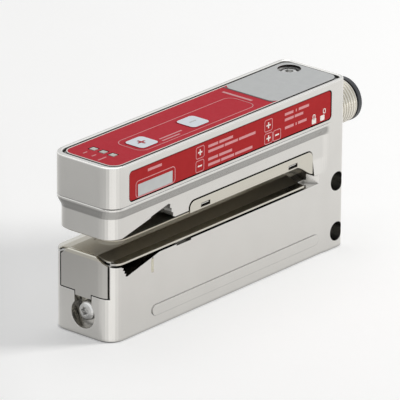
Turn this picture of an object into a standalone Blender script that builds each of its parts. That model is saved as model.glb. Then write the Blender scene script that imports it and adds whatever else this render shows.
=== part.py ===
"""Ultrasonic fork sensor for label edges: a C-shaped die-cast housing with two sheet metal guides.

Frame: metres, +Z up. The fork mouth opens to -X and the connector points to +X. The origin is at
the middle of the flat underside. Inside the script, x is counted from the front of the lower arm,
and one empty moves the whole model back by half the housing's length.
"""

import math

import bmesh
import bpy
from mathutils import Matrix, Vector

# Overall housing
BODY_LENGTH = 0.0916
BODY_WIDTH = 0.0212
BODY_HEIGHT = 0.0469
CORNER_RADIUS = 0.0044
REAR_CORNER = 0.0023
FOOT_CHAMFER = 0.0003
CLEAR = 0.0003

# Fork mouth: the upper arm is counted down from the top, the lower arm takes what is left
UPPER_ARM = 0.02025
MOUTH = 0.0041
UPPER_SHEET = 0.00035
UPPER_GUIDE_SETBACK = 0.0010

# Collar of the upper arm, the S-shaped step under it and the slimmer nose wall
COLLAR_TALL = 0.0113
COLLAR_GROOVE = 0.0002
COLLAR_LIP = 0.0004
STEP_HEIGHT = 0.0024
NOSE_INSET = 0.00095
NOSE_SETBACK = 0.0006
RIM_FILLET = 0.00045

# Rear block, reached by an S-shaped swell in plan
BLOCK_LENGTH = 0.0094
BLOCK_RAMP = 0.0030

# Recess in the top, its cover and the control foil
RIM_SIDE = 0.0010
RIM_FRONT = 0.0018
RIM_REAR = 0.0008
RIM_EASE = 0.0003
RECESS_CORNER = 0.0032
RECESS_REAR_CORNER = 0.0016
FOIL_DROP = 0.0003
FOIL_THICK = 0.00035
FOIL_GAP = 0.0007
FOIL_REAR_GAP = 0.0003
FOIL_CORNER = 0.0034
FOIL_REAR_CORNER = 0.0030
COVER_THICK = 0.0012

# Lower arm and its roof-shaped guide
LOWER_INSET = 0.0003
GUIDE_FALL = 0.0014
GUIDE_SLOPE = 0.0058
LOWER_SHEET = 0.0005
BED_EASE = 0.00035
LOWER_GUIDE_BACK = 0.0166
LOWER_GUIDE_FOLD = 0.0004

# Throat at the rear of the mouth
THROAT_BACK = 0.0124
THROAT_FLARE = 0.0018
THROAT_FLARE_DEPTH = 0.0036

# Side flanges of the upper guide
FLANGE_START = 0.0302
FLANGE_BACK = 0.0127
FLANGE_HEIGHT = 0.0029
FLANGE_THICK = 0.0005
FLANGE_PROUD = 0.00025
FLANGE_CORNER = 0.0018
FLANGE_TAIL = 0.0062
FLANGE_TAIL_DROP = 0.0035
WINDOW_LENGTH = 0.0036
WINDOW_HEIGHT = 0.0011
WINDOW_SILL = 0.00035
WINDOW_IN = 0.0042

# Sound path: two wedge-shaped cuts with serrated end walls, on one tilted beam axis
BEAM_TILT = math.radians(13.0)
BEAM_X = 0.0108
UPPER_CUT_TIP = 0.0006
UPPER_CUT_APEX = 0.0221
UPPER_CUT_RISE = 0.00485
UPPER_CUT_STEP = 0.0154
UPPER_CUT_FOOT = 0.0244
LOWER_CUT_TIP = 0.0038
LOWER_CUT_FOOT = 0.0057
LOWER_CUT_DROP = 0.0035
LOWER_CUT_END = 0.0180
TEETH = 4
TOOTH_DEPTH = 0.0005
SOUND_HOLE = 0.0042

# Transducers
CAN_RADIUS = 0.0047
CAN_LENGTH = 0.0050
CAN_SINK = 0.0006
HOLDER_WALL = 0.0006
BORE_SPARE = 0.0024

# Front plate of the lower guide, its tab and its screw
PLATE_NEAR_MARGIN = 0.00215
PLATE_FAR_MARGIN = 0.0034
PLATE_SIDE_GAP = 0.0005
PLATE_BASE = 0.0119
PLATE_SHOULDER_DROP = 0.0021
PLATE_DEPTH = 0.0060
PLATE_SLIT = 0.0006
TAB_Y = -0.0005
TAB_HALF = 0.0026
TAB_DEPTH = 0.0025
TAB_BEND = 0.0013
TAB_SLOPE = 0.0012
TAB_REACH = 0.0019
SCREW_Z = 0.0065
SCREW_HEAD = 0.0026
SCREW_HEAD_TALL = 0.0015
SCREW_SHANK = 0.0014
SCREW_LENGTH = 0.0040
SCREW_WELL = 0.0039
WELL_DROP = 0.0005

# Mounting holes through the rear block
HOLE_RADIUS = 0.0026
HOLE_BACK = 0.0034
HOLE_LOW = 0.0047
HOLE_HIGH_DROP = 0.0282

# Shallow raised strip, witness groove and clip notch on the lower arm's sides
STRIP_LOW = 0.0032
STRIP_TALL = 0.0029
STRIP_START = 0.0151
STRIP_BACK = 0.0106
STRIP_PROUD = 0.00025
WITNESS_X = 0.0152
WITNESS_WIDTH = 0.0004
WITNESS_DROP = 0.00735
WITNESS_TALL = 0.0040
WITNESS_DEPTH = 0.00025
NOTCH_START = 0.0245
NOTCH_LENGTH = 0.0057
NOTCH_DROP = 0.0004
NOTCH_DEPTH = 0.0014

# Side label
LABEL_START = 0.0063
LABEL_BACK = 0.0064
LABEL_DROP = 0.00995
LABEL_TALL = 0.00765
LABEL_THICK = 0.0003
LABEL_SUNK = 0.00015
LABEL_CORNER = 0.0009

# Electronics bay, board and what it carries
BAY_FRONT = 0.0053
BAY_END = 0.0096
BAY_WALL = 0.0032
BOARD_LEDGE = 0.0010
BOARD_THICK = 0.0010
BOARD_DROP = 0.00545
BAY_DEPTH = 0.0103
DUCT_END = 0.0076
DUCT_LENGTH = 0.0031
DUCT_HALF = 0.0024
KEY_X = (0.0204, 0.0400)
KEY_Y = -0.0021
KEY_SIZE = 0.0068
KEY_CORNER = 0.0013
KEY_RISE = 0.0001
SWITCH_SIZE = 0.0050
SWITCH_TALL = 0.0011
SWITCH_BUTTON = 0.0013
LAMP_X = 0.0091
LAMP_Y = 0.0007
LAMP_PITCH = 0.0032
LAMP_LONG = 0.0016
LAMP_WIDE = 0.0016
LAMP_FOOT = 0.0003
DIE_TALL = 0.0006
DIE_LONG = 0.0016
DIE_WIDE = 0.0012

# Screw in the top cover's rear corner
CAP_BACK = 0.0051
CAP_SIDE = 0.0060
CAP_WINDOW = 0.0031
CAP_SINK = 0.0006
CAP_HEAD = 0.0026
CAP_HEAD_TALL = 0.0005
CAP_SHANK = 0.0012
CAP_LENGTH = 0.0036
CAP_SOCKET = 0.0012
CAP_SOCKET_DEPTH = 0.0004

# Connector on the rear face
PLUG_DROP = 0.0120
THREAD_RADIUS = 0.00595
THREAD_LENGTH = 0.0100
SHANK_RADIUS = 0.0055
SHANK_LENGTH = 0.0065
SLEEVE_BORE = 0.0049
END_RING_LENGTH = 0.0016
END_RING_RADIUS = 0.00598
CUP_BORE = 0.0041
CUP_FLOOR = 0.0020
SEAL_RADIUS = 0.00035
PIN_RADIUS = 0.0005
PIN_CIRCLE = 0.0025
PIN_RECESS = 0.0026

# Emitter lead in its groove under the lower guide
LEAD_RADIUS = 0.0006
LEAD_GROOVE = 0.0012
LEAD_DROP = 0.00415
LEAD_WELL = 0.0105
LEAD_DIVE_BACK = 0.0181

# Flat strip from the contacts to the board
FLEX_THICK = 0.00025
FLEX_HALF = 0.0030
FLEX_REACH = 0.0022

# Places that follow from the sizes above
HALF = BODY_WIDTH / 2
NOSE_HALF = HALF - NOSE_INSET
LOWER_HALF = HALF - LOWER_INSET
UPPER_FACE = BODY_HEIGHT - UPPER_ARM
GUIDE_CROWN = UPPER_FACE - MOUTH
GUIDE_EDGE = GUIDE_CROWN - GUIDE_FALL
GUIDE_FLAT = LOWER_HALF - GUIDE_SLOPE
BED_EDGE = GUIDE_EDGE - LOWER_SHEET - CLEAR - BED_EASE
NOSE_BASE = UPPER_FACE + UPPER_SHEET + CLEAR
COLLAR_BASE = BODY_HEIGHT - COLLAR_TALL
STEP_TOP = COLLAR_BASE - COLLAR_LIP
STEP_BASE = STEP_TOP - STEP_HEIGHT
BLOCK_START = BODY_LENGTH - BLOCK_LENGTH
THROAT = BODY_LENGTH - THROAT_BACK
FLANGE_END = BODY_LENGTH - FLANGE_BACK
LOWER_GUIDE_END = BODY_LENGTH - LOWER_GUIDE_BACK
PLATE_NEAR = PLATE_NEAR_MARGIN - LOWER_HALF
PLATE_FAR = LOWER_HALF - PLATE_FAR_MARGIN
PLATE_SHOULDER = GUIDE_CROWN - PLATE_SHOULDER_DROP
STRIP_END = BODY_LENGTH - STRIP_BACK
WITNESS_LOW = GUIDE_CROWN - WITNESS_DROP
HOLE_HIGH = BODY_HEIGHT - HOLE_HIGH_DROP
LABEL_END = BODY_LENGTH - LABEL_BACK
LABEL_LOW = BODY_HEIGHT - LABEL_DROP
FOIL_TOP = BODY_HEIGHT - FOIL_DROP
COVER_TOP = FOIL_TOP - FOIL_THICK - CLEAR
COVER_BASE = COVER_TOP - COVER_THICK
RECESS_FLOOR = COVER_BASE - CLEAR
BAY_BACK = BODY_LENGTH - BAY_END
BAY_HALF = HALF - BAY_WALL
BAY_FLOOR = BODY_HEIGHT - BAY_DEPTH
BOARD_BASE = BODY_HEIGHT - BOARD_DROP
BOARD_TOP = BOARD_BASE + BOARD_THICK
DUCT_BACK = BODY_LENGTH - DUCT_END
CAP_X = BODY_LENGTH - CAP_BACK
CAP_Y = HALF - CAP_SIDE
PLUG_Z = BODY_HEIGHT - PLUG_DROP
LEAD_FLOOR = GUIDE_CROWN - LEAD_DROP
LEAD_DIVE = BODY_LENGTH - LEAD_DIVE_BACK
ROOT = None


def clear_scene():
    """Empties the scene so that only this model is in it."""
    for item in list(bpy.data.objects):
        bpy.data.objects.remove(item, do_unlink=True)


def finish(name, colour, roughness, metallic):
    """A plain Principled material."""
    material = bpy.data.materials.new(name)
    material.use_nodes = True
    shader = material.node_tree.nodes["Principled BSDF"]
    shader.inputs["Base Color"].default_value = (*colour, 1.0)
    shader.inputs["Roughness"].default_value = roughness
    shader.inputs["Metallic"].default_value = metallic
    return material


def solid(name, bm, material=None):
    """Turns a closed bmesh into an object, with its faces pointing out."""
    bmesh.ops.recalc_face_normals(bm, faces=bm.faces)
    mesh = bpy.data.meshes.new(name)
    bm.to_mesh(mesh)
    bm.free()
    item = bpy.data.objects.new(name, mesh)
    bpy.context.collection.objects.link(item)
    item.parent = ROOT
    if material is not None:
        mesh.materials.append(material)
    return item


def apply_boolean(body, tool, operation):
    """Runs one exact Boolean on the body and removes the tool."""
    modifier = body.modifiers.new(operation.title(), "BOOLEAN")
    modifier.operation = operation
    modifier.solver = "EXACT"
    modifier.object = tool
    bpy.context.view_layer.update()
    bpy.context.view_layer.objects.active = body
    bpy.ops.object.modifier_apply(modifier=modifier.name)
    bpy.data.objects.remove(tool, do_unlink=True)


def cut(body, *tools):
    for tool in tools:
        apply_boolean(body, tool, "DIFFERENCE")


def join(body, *tools):
    for tool in tools:
        apply_boolean(body, tool, "UNION")


def keep_common(body, tool):
    apply_boolean(body, tool, "INTERSECT")


def smooth(item, degrees=30.0):
    """Shades round faces smooth and keeps the real edges sharp."""
    item.data.shade_smooth()
    item.data.set_sharp_from_angle(angle=math.radians(degrees))


def prism(name, points, axis, start, end, material=None):
    """Extrudes a flat outline along one axis: 'x' takes (y, z), 'y' takes (x, z), 'z' takes (x, y)."""
    place = {
        "x": lambda a, b: Vector((start, a, b)),
        "y": lambda a, b: Vector((a, start, b)),
        "z": lambda a, b: Vector((a, b, start)),
    }[axis]
    step = {"x": Vector((1, 0, 0)), "y": Vector((0, 1, 0)), "z": Vector((0, 0, 1))}[axis] * (end - start)
    bm = bmesh.new()
    face = bm.faces.new([bm.verts.new(place(a, b)) for a, b in points])
    top = bmesh.ops.extrude_face_region(bm, geom=[face])["geom"]
    bmesh.ops.translate(bm, vec=step, verts=[v for v in top if isinstance(v, bmesh.types.BMVert)])
    return solid(name, bm, material)


def arc(cx, cy, radius, start, end, steps):
    """Points along a circular arc, angles in degrees."""
    points = []
    for i in range(steps + 1):
        angle = math.radians(start + (end - start) * i / steps)
        points.append((cx + radius * math.cos(angle), cy + radius * math.sin(angle)))
    return points


def rounded_rectangle(x0, x1, y0, y1, radius, steps=5):
    """A rectangle with round corners, anticlockwise."""
    points = arc(x1 - radius, y0 + radius, radius, -90, 0, steps)
    points += arc(x1 - radius, y1 - radius, radius, 0, 90, steps)
    points += arc(x0 + radius, y1 - radius, radius, 90, 180, steps)
    points += arc(x0 + radius, y0 + radius, radius, 180, 270, steps)
    return points


def rectangle(x0, x1, y0, y1):
    return [(x0, y0), (x1, y0), (x1, y1), (x0, y1)]


def turned(name, profile, origin, direction, steps, material=None):
    """Spins a closed (distance along the axis, radius) profile round a free axis."""
    bm = bmesh.new()
    edges = []
    corners = [bm.verts.new((radius, 0.0, along)) for along, radius in profile]
    for a, b in zip(corners, corners[1:] + corners[:1]):
        if a.co.x > 0 or b.co.x > 0:
            edges.append(bm.edges.new((a, b)))
    bmesh.ops.spin(bm, geom=corners + edges, cent=(0, 0, 0), axis=(0, 0, 1), angle=math.tau, steps=steps)
    bmesh.ops.remove_doubles(bm, verts=bm.verts, dist=1e-6)
    bmesh.ops.dissolve_verts(bm, verts=[v for v in bm.verts if v.co.xy.length < 1e-7])
    turn = Vector((0, 0, 1)).rotation_difference(Vector(direction)).to_matrix().to_4x4()
    bmesh.ops.transform(bm, matrix=Matrix.Translation(Vector(origin)) @ turn, verts=bm.verts)
    return solid(name, bm, material)


def rod(name, start, end, radius, steps=24, material=None):
    """A plain cylinder between two points."""
    start = Vector(start)
    way = Vector(end) - start
    profile = [(0, 0), (0, radius), (way.length, radius), (way.length, 0)]
    return turned(name, profile, start, way, steps, material)


def ease(t):
    """The S-curve that runs level at both ends."""
    return t * t * (3 - 2 * t)


def outline(front, half, radius, block_half, rear, rear_radius):
    """Plan of the housing at one height: front corner, arm side, swell to the block, rear corner."""
    near = arc(front + radius, -half + radius, radius, 180, 270, 8)
    for i in range(7):
        t = i / 6
        near.append((BLOCK_START + BLOCK_RAMP * t, -half - (block_half - half) * ease(t)))
    near += arc(rear - rear_radius, -block_half + rear_radius, rear_radius, 270, 360, 5)
    far = [(x, -y) for x, y in reversed(near)]
    return near + far


def loft(name, rings, material=None):
    """Joins rings of equal count, given as (height, outline), into one closed skin."""
    bm = bmesh.new()
    loops = [[bm.verts.new((x, y, z)) for x, y in points] for z, points in rings]
    for low, high in zip(loops, loops[1:]):
        for i in range(len(low)):
            j = (i + 1) % len(low)
            bm.faces.new((low[i], low[j], high[j], high[i]))
    bm.faces.new(list(reversed(loops[0])))
    bm.faces.new(loops[-1])
    return solid(name, bm, material)


def arm_ring(z, setback, inset, trim=0.0):
    """One ring of the outer skin, trimmed all round at the foot and at the rim."""
    half = HALF - inset - trim
    radius = CORNER_RADIUS - trim
    rear_radius = REAR_CORNER - trim
    return z, outline(setback + trim, half, radius, HALF - trim, BODY_LENGTH - trim, rear_radius)


def recess_outline(spare=0.0):
    """Plan of the recess in the top, or of a piece that lies in it with some spare all round."""
    half = HALF - RIM_SIDE - spare
    rear = BODY_LENGTH - RIM_REAR - spare
    front_radius = RECESS_CORNER - spare
    return outline(RIM_FRONT + spare, half, front_radius, half, rear, RECESS_REAR_CORNER - spare)


def foil_outline():
    """Plan of the control foil: rounder corners than the recess, and a small gap all round."""
    half = HALF - RIM_SIDE - FOIL_GAP
    rear = BODY_LENGTH - RIM_REAR - FOIL_REAR_GAP
    return outline(RIM_FRONT + FOIL_GAP, half, FOIL_CORNER, half, rear, FOIL_REAR_CORNER)


def outer_skin(material):
    """Lower arm, slimmer nose wall, S-step and collar with its round rim, all in one loft."""
    rings = [arm_ring(0.0, 0.0, LOWER_INSET, FOOT_CHAMFER), arm_ring(FOOT_CHAMFER, 0.0, LOWER_INSET)]
    rings.append(arm_ring(GUIDE_CROWN, 0.0, LOWER_INSET))
    rings.append(arm_ring(UPPER_FACE, NOSE_SETBACK, NOSE_INSET))
    steps = 8
    for i in range(steps + 1):
        t = i / steps
        left = 1 - (t + ease(t)) / 2
        rings.append(arm_ring(STEP_BASE + STEP_HEIGHT * t, NOSE_SETBACK * left, NOSE_INSET * left))
    rings.append(arm_ring(COLLAR_BASE, 0.0, 0.0))
    rings.append(arm_ring(COLLAR_BASE + COLLAR_GROOVE, COLLAR_GROOVE, COLLAR_GROOVE))
    rings.append(arm_ring(COLLAR_BASE + 2 * COLLAR_GROOVE, 0.0, 0.0))
    for i in range(6):
        angle = math.radians(18 * i)
        height = BODY_HEIGHT - RIM_FILLET + RIM_FILLET * math.sin(angle)
        rings.append(arm_ring(height, 0.0, 0.0, RIM_FILLET * (1 - math.cos(angle))))
    rings.append((BODY_HEIGHT - CLEAR / 6, recess_outline(-RIM_EASE)))
    rings.append((FOIL_TOP, recess_outline()))
    rings.append((RECESS_FLOOR, recess_outline()))
    return loft("housing", rings, material)


def roof(y):
    """Height of the lower guide's top face at one place across the fork."""
    reach = abs(y) - GUIDE_FLAT
    if reach <= 0:
        return GUIDE_CROWN
    share = min(reach / (LOWER_HALF - GUIDE_FLAT), 1.0)
    return GUIDE_EDGE + (GUIDE_CROWN - GUIDE_EDGE) * (1 - share) ** 1.4


def bed(y):
    """Height of the housing under the lower guide, a little lower towards the sides."""
    share = max(abs(y) - GUIDE_FLAT, 0.0) / (LOWER_HALF - GUIDE_FLAT)
    return roof(y) - LOWER_SHEET - CLEAR - BED_EASE * min(share, 1.0)


def roof_stations():
    """Places across the fork where the roof profile is sampled."""
    inner = LOWER_HALF - CORNER_RADIUS
    side = [GUIDE_FLAT, inner]
    side += [inner + CORNER_RADIUS * math.sin(math.radians(a)) for a in (15, 30, 45, 60, 75, 90)]
    return [-y for y in reversed(side)] + [0.0] + side


def arm_front(y):
    """Distance of the lower arm's round front from x = 0 at one place across."""
    reach = abs(y) - (LOWER_HALF - CORNER_RADIUS)
    if reach <= 0:
        return 0.0
    return CORNER_RADIUS - math.sqrt(max(CORNER_RADIUS ** 2 - reach ** 2, 0.0))


def fork_slot():
    """The open throat of the C: flat above, roof-shaped below, flared at the rear of both sides."""
    wide = HALF + 0.002
    section = [(y, bed(y)) for y in roof_stations()]
    section = [(-wide, section[0][1])] + section + [(wide, section[-1][1])]
    section += [(wide, NOSE_BASE), (-wide, NOSE_BASE)]
    slot = prism("slot", section, "x", -0.003, THROAT)
    for side in (-1, 1):
        deep = side * (HALF - THROAT_FLARE_DEPTH)
        out = side * wide
        end = THROAT + THROAT_FLARE
        plan = [(THROAT - 0.004, deep), (THROAT - CLEAR, deep), (end, side * LOWER_HALF), (end, out)]
        plan.append((THROAT - 0.004, out))
        flare = prism("flare", plan, "z", BED_EDGE, GUIDE_CROWN)
        join(slot, flare)
    return slot


def serrated(start, end, teeth, depth):
    """A zigzag from start to end whose teeth stand out to the right of the way."""
    start = Vector(start)
    way = Vector(end) - start
    across = Vector((way.y, -way.x)).normalized() * depth
    points = []
    for i in range(teeth):
        points.append(tuple(start + way * (i / teeth)))
        points.append(tuple(start + way * ((i + 0.45) / teeth) + across))
    points.append(tuple(Vector(end)))
    return points


def upper_cut():
    """Wedge under the receiver: a tilted ceiling with a small step and a serrated rear wall."""
    low = UPPER_FACE - 0.0002
    apex = UPPER_FACE + UPPER_CUT_RISE
    slope = UPPER_CUT_RISE / (UPPER_CUT_APEX - UPPER_CUT_TIP)
    step_z = UPPER_FACE + slope * (UPPER_CUT_STEP - UPPER_CUT_TIP)
    points = [(UPPER_CUT_TIP, low), (UPPER_CUT_STEP, step_z - CLEAR), (UPPER_CUT_STEP, step_z)]
    points += serrated((UPPER_CUT_APEX, apex), (UPPER_CUT_FOOT, low), TEETH, -TOOTH_DEPTH)
    return prism("upper_cut", list(reversed(points)), "y", -HALF - 0.001, HALF + 0.001)


def lower_cut():
    """Wedge above the emitter: a serrated front wall and a floor that rises to the rear."""
    top = GUIDE_CROWN
    edge = BED_EDGE + LOWER_SHEET
    base = edge - LOWER_CUT_DROP
    points = [(LOWER_CUT_TIP, top)]
    points += serrated((LOWER_CUT_TIP, edge), (LOWER_CUT_FOOT, base), TEETH, TOOTH_DEPTH)
    points += [(LOWER_CUT_END, edge - LOWER_SHEET), (LOWER_CUT_END, top)]
    return prism("lower_cut", points, "y", -HALF - 0.001, HALF + 0.001)


def beam_point(z):
    """The point of the tilted beam axis at one height."""
    middle = GUIDE_CROWN + MOUTH / 2
    return Vector((BEAM_X - (z - middle) * math.tan(BEAM_TILT), 0.0, z))


def beam_way():
    return Vector((-math.sin(BEAM_TILT), 0.0, math.cos(BEAM_TILT)))


def receiver_face():
    """Where the beam axis meets the wedge's tilted ceiling."""
    slope = UPPER_CUT_RISE / (UPPER_CUT_APEX - UPPER_CUT_TIP)
    z = UPPER_FACE + slope * (BEAM_X - UPPER_CUT_TIP)
    for _ in range(6):
        z = UPPER_FACE + slope * (beam_point(z).x - UPPER_CUT_TIP)
    return beam_point(z)


def emitter_face():
    """Where the beam axis meets the floor of the lower wedge."""
    base = BED_EDGE + LOWER_SHEET - LOWER_CUT_DROP
    slope = (LOWER_CUT_DROP - LOWER_SHEET) / (LOWER_CUT_END - LOWER_CUT_FOOT)
    z = base + slope * (BEAM_X - LOWER_CUT_FOOT)
    for _ in range(6):
        z = base + slope * (beam_point(z).x - LOWER_CUT_FOOT)
    return beam_point(z)


def bore_radius():
    return CAN_RADIUS + HOLDER_WALL + 2 * CLEAR


def transducer_bores():
    """Tilted bores that take the two transducers in their holders."""
    way = beam_way()
    up = receiver_face()
    down = emitter_face()
    depth = CAN_SINK + CAN_LENGTH + BORE_SPARE
    high = rod("bore", up - way * 0.0015, up + way * (depth + 0.002), bore_radius(), 36)
    low = rod("bore", down + way * 0.0012, down - way * depth, bore_radius(), 36)
    return [high, low]


def electronics_bay():
    """Bay under the cover with a ledge for the board, and the duct down the rear block."""
    half = BAY_HALF
    upper = prism("bay", rounded_rectangle(BAY_FRONT, BAY_BACK, -half, half, 0.0015), "z",
                  BOARD_BASE - CLEAR, RECESS_FLOOR + 0.0005)
    half = BAY_HALF - BOARD_LEDGE
    front = BAY_FRONT + BOARD_LEDGE
    lower = prism("bay", rounded_rectangle(front, DUCT_BACK, -half, half, 0.0015), "z",
                  BAY_FLOOR, BOARD_BASE)
    duct = prism("duct", rectangle(DUCT_BACK - DUCT_LENGTH, DUCT_BACK, -DUCT_HALF, DUCT_HALF), "z",
                 LEAD_FLOOR, BAY_FLOOR + 0.001)
    join(upper, lower, duct)
    return upper


def lead_groove():
    """Groove under the lower guide for the emitter's lead, deeper behind the emitter."""
    face = emitter_face()
    end = face - beam_way() * (CAN_SINK + CAN_LENGTH + BORE_SPARE)
    deep = prism("groove", rectangle(end.x, end.x + LEAD_WELL, -LEAD_GROOVE, LEAD_GROOVE), "z",
                 end.z + 0.0002, GUIDE_CROWN)
    run = prism("groove", rectangle(end.x, LEAD_DIVE, -LEAD_GROOVE, LEAD_GROOVE), "z",
                LEAD_FLOOR, GUIDE_CROWN)
    under = prism("groove", rectangle(LEAD_DIVE - 0.001, DUCT_BACK - 0.001, -LEAD_GROOVE, LEAD_GROOVE),
                  "z", LEAD_FLOOR, LEAD_FLOOR + 2 * LEAD_GROOVE)
    join(run, deep, under)
    return run


def connector_bore():
    """Stepped bore in the rear face: the seal's counterbore, then the sleeve's shank."""
    deep = BODY_LENGTH - DUCT_BACK + 0.0005
    shank = SHANK_RADIUS + CLEAR
    seal = SHANK_RADIUS + 2 * SEAL_RADIUS + 2 * CLEAR
    counter = 2 * SEAL_RADIUS
    profile = [(-deep, 0), (-deep, shank), (-counter, shank), (-counter, seal), (0.002, seal), (0.002, 0)]
    return turned("bore", profile, (BODY_LENGTH, 0, PLUG_Z), (1, 0, 0), 48)


def mounting_holes():
    """Two cross holes close to the rear face."""
    x = BODY_LENGTH - HOLE_BACK
    wide = HALF + 0.002
    return [rod("hole", (x, -wide, z), (x, wide, z), HOLE_RADIUS, 32) for z in (HOLE_LOW, HOLE_HIGH)]


def flange_outline(spare=0.0):
    """Side view of one flange of the upper guide, with a tail that closes the throat's top."""
    x0 = FLANGE_START - spare
    x1 = FLANGE_END + spare
    top = UPPER_FACE + FLANGE_HEIGHT + spare
    radius = FLANGE_CORNER + spare
    points = [(x0, UPPER_FACE)]
    if spare == 0.0:
        for i in range(7):
            t = i / 6
            drop = FLANGE_TAIL_DROP * (t + ease(t)) / 2
            points.append((FLANGE_END - FLANGE_TAIL * (1 - t), UPPER_FACE - drop))
    else:
        points += [(x1, UPPER_FACE)]
    points += arc(x1 - radius, top - radius, radius, 0, 90, 6)
    points += arc(x0 + radius, top - radius, radius, 90, 180, 6)
    return points


def flange_pockets():
    """Shallow pockets in the nose wall that the flanges lie in."""
    floor = NOSE_HALF + FLANGE_PROUD - FLANGE_THICK - CLEAR
    pockets = []
    for side in (-1, 1):
        span = sorted((side * floor, side * (HALF + 0.001)))
        pockets.append(prism("pocket", flange_outline(CLEAR), "y", *span))
    return pockets


def snap_hooks():
    """Small hooks on the pocket floor that catch in the flange windows."""
    inner = NOSE_HALF + FLANGE_PROUD - FLANGE_THICK - CLEAR
    hooks = []
    for x0, low in window_corners():
        for side in (-1, 1):
            span = sorted((side * (inner - 0.0006), side * (NOSE_HALF + FLANGE_PROUD - CLEAR)))
            low_edge = low + WINDOW_HEIGHT * 0.5
            box = rectangle(x0 + CLEAR, x0 + WINDOW_LENGTH - CLEAR, low_edge, low + WINDOW_HEIGHT - CLEAR)
            hooks.append(prism("hook", box, "y", *span))
    return hooks


def window_corners():
    """Lower front corner of each window in a flange."""
    low = UPPER_FACE + WINDOW_SILL
    return [(FLANGE_START + WINDOW_IN, low), (FLANGE_END - FLANGE_TAIL - WINDOW_LENGTH, low)]


def strips():
    """Shallow raised strips with round ends, one on each side of the lower arm."""
    radius = STRIP_TALL / 2
    z = STRIP_LOW + radius
    points = arc(STRIP_END - radius, z, radius, -90, 90, 8)
    points += arc(STRIP_START + radius, z, radius, 90, 270, 8)
    made = []
    for side in (-1, 1):
        span = sorted((side * (LOWER_HALF - 0.0005), side * (LOWER_HALF + STRIP_PROUD)))
        made.append(prism("strip", points, "y", *span))
    return made


def side_marks():
    """Witness groove and clip notch on both sides of the lower arm."""
    made = []
    for side in (-1, 1):
        span = sorted((side * (LOWER_HALF - WITNESS_DEPTH), side * (HALF + 0.001)))
        box = rectangle(WITNESS_X, WITNESS_X + WITNESS_WIDTH, WITNESS_LOW, WITNESS_LOW + WITNESS_TALL)
        made.append(prism("groove", box, "y", *span))
        span = sorted((side * (LOWER_HALF - NOTCH_DEPTH), side * (HALF + 0.001)))
        low = BED_EDGE - NOTCH_DROP
        box = rectangle(NOTCH_START, NOTCH_START + NOTCH_LENGTH, low, GUIDE_CROWN)
        made.append(prism("notch", box, "y", *span))
    return made


def front_contour(depth, low, high, count=12):
    """Plan points along the lower arm's round front, moved in by a depth, from one y to another."""
    points = []
    for i in range(count + 1):
        y = low + (high - low) * i / count
        reach = abs(y) - (LOWER_HALF - CORNER_RADIUS)
        radius = CORNER_RADIUS - depth
        x = depth
        if reach > 0:
            x = CORNER_RADIUS - math.sqrt(max(radius ** 2 - reach ** 2, 0.0))
        points.append((x, y))
    return points


def front_pocket():
    """Pocket for the folded front plate, following the round front, with the tab's slot."""
    depth = LOWER_SHEET + CLEAR
    low = PLATE_NEAR - PLATE_SIDE_GAP
    high = PLATE_FAR + PLATE_SIDE_GAP
    plan = front_contour(depth, low, high) + [(-0.002, high), (-0.002, low)]
    pocket = prism("pocket", plan, "z", PLATE_BASE - CLEAR, GUIDE_CROWN + 0.001)
    deep = TAB_DEPTH + depth
    half = TAB_HALF + CLEAR
    bend = PLATE_BASE - TAB_BEND + 2 * CLEAR
    side = [(-0.002, SCREW_Z), (deep, SCREW_Z), (deep, bend - TAB_SLOPE)]
    side += [(depth, bend), (depth, PLATE_BASE + 0.001), (-0.002, PLATE_BASE + 0.001)]
    slot = prism("tab_slot", side, "y", TAB_Y - half, TAB_Y + half)
    middle = SCREW_Z - WELL_DROP
    well = rod("well", (-0.002, TAB_Y, middle), (deep, TAB_Y, middle), SCREW_WELL, 32)
    join(pocket, slot, well)
    return pocket


def screw_hole():
    end = TAB_DEPTH + SCREW_LENGTH
    return rod("hole", (0, TAB_Y, SCREW_Z), (end, TAB_Y, SCREW_Z), SCREW_SHANK + CLEAR, 20)


def label_recess():
    spare = CLEAR
    floor = -HALF + LABEL_SUNK + LABEL_THICK + CLEAR
    box = rounded_rectangle(LABEL_START - spare, LABEL_END + spare, LABEL_LOW - spare,
                            LABEL_LOW + LABEL_TALL + spare, LABEL_CORNER + spare)
    return prism("recess", box, "y", -HALF - 0.001, floor)


def cover_screw_hole():
    low = FOIL_TOP - CAP_SINK - CAP_HEAD_TALL - CAP_LENGTH - CLEAR
    return rod("hole", (CAP_X, CAP_Y, low), (CAP_X, CAP_Y, BODY_HEIGHT), CAP_SHANK + CLEAR, 20)


def make_housing():
    metal = finish("nickelled_zinc", (0.70, 0.69, 0.67), 0.28, 1.0)
    body = outer_skin(metal)
    cut(body, fork_slot())
    join(body, *strips())
    cut(body, electronics_bay(), lead_groove(), connector_bore())
    cut(body, upper_cut(), lower_cut())
    cut(body, *transducer_bores())
    cut(body, *mounting_holes())
    cut(body, *flange_pockets())
    join(body, *snap_hooks())
    cut(body, *side_marks())
    cut(body, front_pocket(), screw_hole(), label_recess(), cover_screw_hole())
    smooth(body)
    return body


def corner_slits():
    """Cuts that free the sloped sides of the guide from the folded front plate."""
    depth = LOWER_SHEET + PLATE_SLIT
    slits = []
    low = PLATE_NEAR - PLATE_SIDE_GAP
    high = PLATE_FAR + PLATE_SIDE_GAP
    for a, b in ((low, -GUIDE_FLAT), (GUIDE_FLAT, high)):
        plan = front_contour(depth, a, b, 8) + [(-0.001, b), (-0.001, a)]
        slits.append(prism("slit", plan, "z", GUIDE_EDGE - 0.001, GUIDE_CROWN + 0.001))
    return slits


def fold_round():
    """Waste outside the small radius of the fold between the guide's flat top and its front plate."""
    radius = LOWER_GUIDE_FOLD
    points = arc(radius, GUIDE_CROWN - radius, radius, 90, 180, 4)
    points += [(-0.001, GUIDE_CROWN - radius), (-0.001, GUIDE_CROWN + 0.001), (radius, GUIDE_CROWN + 0.001)]
    return prism("waste", points, "y", -HALF, HALF)


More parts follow.
